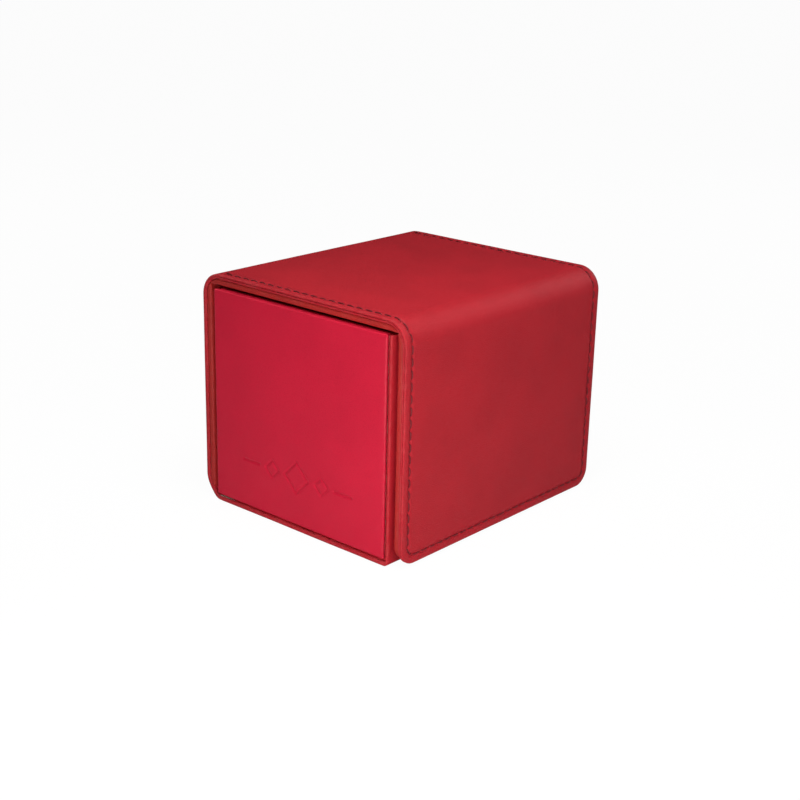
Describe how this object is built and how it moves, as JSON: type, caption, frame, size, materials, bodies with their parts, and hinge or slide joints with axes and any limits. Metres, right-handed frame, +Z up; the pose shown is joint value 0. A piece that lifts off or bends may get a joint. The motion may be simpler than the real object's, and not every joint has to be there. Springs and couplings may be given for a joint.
{
  "type": "card deck box",
  "caption": "Side-opening card deck box: an open lined tray in a folding leatherette cover whose lid and magnetic flap wrap over the top and down one side.",
  "frame": {"origin": "middle of the footprint, on the surface the box stands on", "axes": "+Z up, -Y out of the facing panel with the emblem, +X towards the magnetic flap"},
  "size_m": [0.091, 0.104, 0.08],
  "materials": {
    "grained_leatherette": "fine-grained satin leatherette",
    "smooth_leatherette": "smooth satin leatherette, brighter red",
    "lining_leatherette": "matt brown-red leatherette",
    "microfibre": "short dark red nap",
    "greyboard": "raw pressed board",
    "thread": "twisted dark red polyester thread",
    "magnet": "nickel plated"
  },
  "bodies": {
    "tray": {"base_skin": "grained_leatherette", "base_board": "greyboard", "foot_fold": "grained_leatherette", "spine_skin": "grained_leatherette", "spine_backing": "grained_leatherette", "spine_board": "greyboard", "spine_lining": "lining_leatherette", "side_strip_board": "greyboard", "side_strip_skin": "grained_leatherette", "tray_bottom_skin": "grained_leatherette", "tray_floor_board": "greyboard", "tray_front_board": "greyboard", "tray_back_board": "greyboard", "tray_left_board": "greyboard", "tray_right_board": "greyboard", "tray_magnets": "magnet", "front_panel": "smooth_leatherette", "back_panel": "smooth_leatherette", "tray_left_skin": "grained_leatherette", "tray_right_skin": "grained_leatherette", "floor_lining": "microfibre", "front_lining": "microfibre", "back_lining": "microfibre", "left_lining": "microfibre", "right_lining": "microfibre"},
    "lid": {"lid_fold_skin": "grained_leatherette", "lid_fold_backing": "grained_leatherette", "lid_skin": "grained_leatherette", "lid_backing": "grained_leatherette", "lid_board": "greyboard", "lid_lining": "lining_leatherette", "lid_stitches": "thread"},
    "flap": {"flap_fold_skin": "grained_leatherette", "flap_fold_backing": "grained_leatherette", "flap_fold_stitches": "thread", "flap_skin": "grained_leatherette", "flap_backing": "grained_leatherette", "flap_board": "greyboard", "flap_lining": "lining_leatherette", "flap_magnets": "magnet", "flap_stitches": "thread"}
  },
  "joints": [
    {"name": "lid_hinge", "type": "hinge", "parent": "tray", "child": "lid", "pos_m": [-0.04315, 0, 0.07765], "axis": [0, -1, 0], "range_deg": [0, 178], "deforming": ["lid_fold_skin", "lid_fold_backing"]},
    {"name": "flap_hinge", "type": "hinge", "parent": "lid", "child": "flap", "pos_m": [0.04315, 0, 0.07765], "axis": [0, -1, 0], "range_deg": [0, 178], "deforming": ["flap_fold_skin", "flap_fold_backing", "flap_fold_stitches"]}
  ]
}
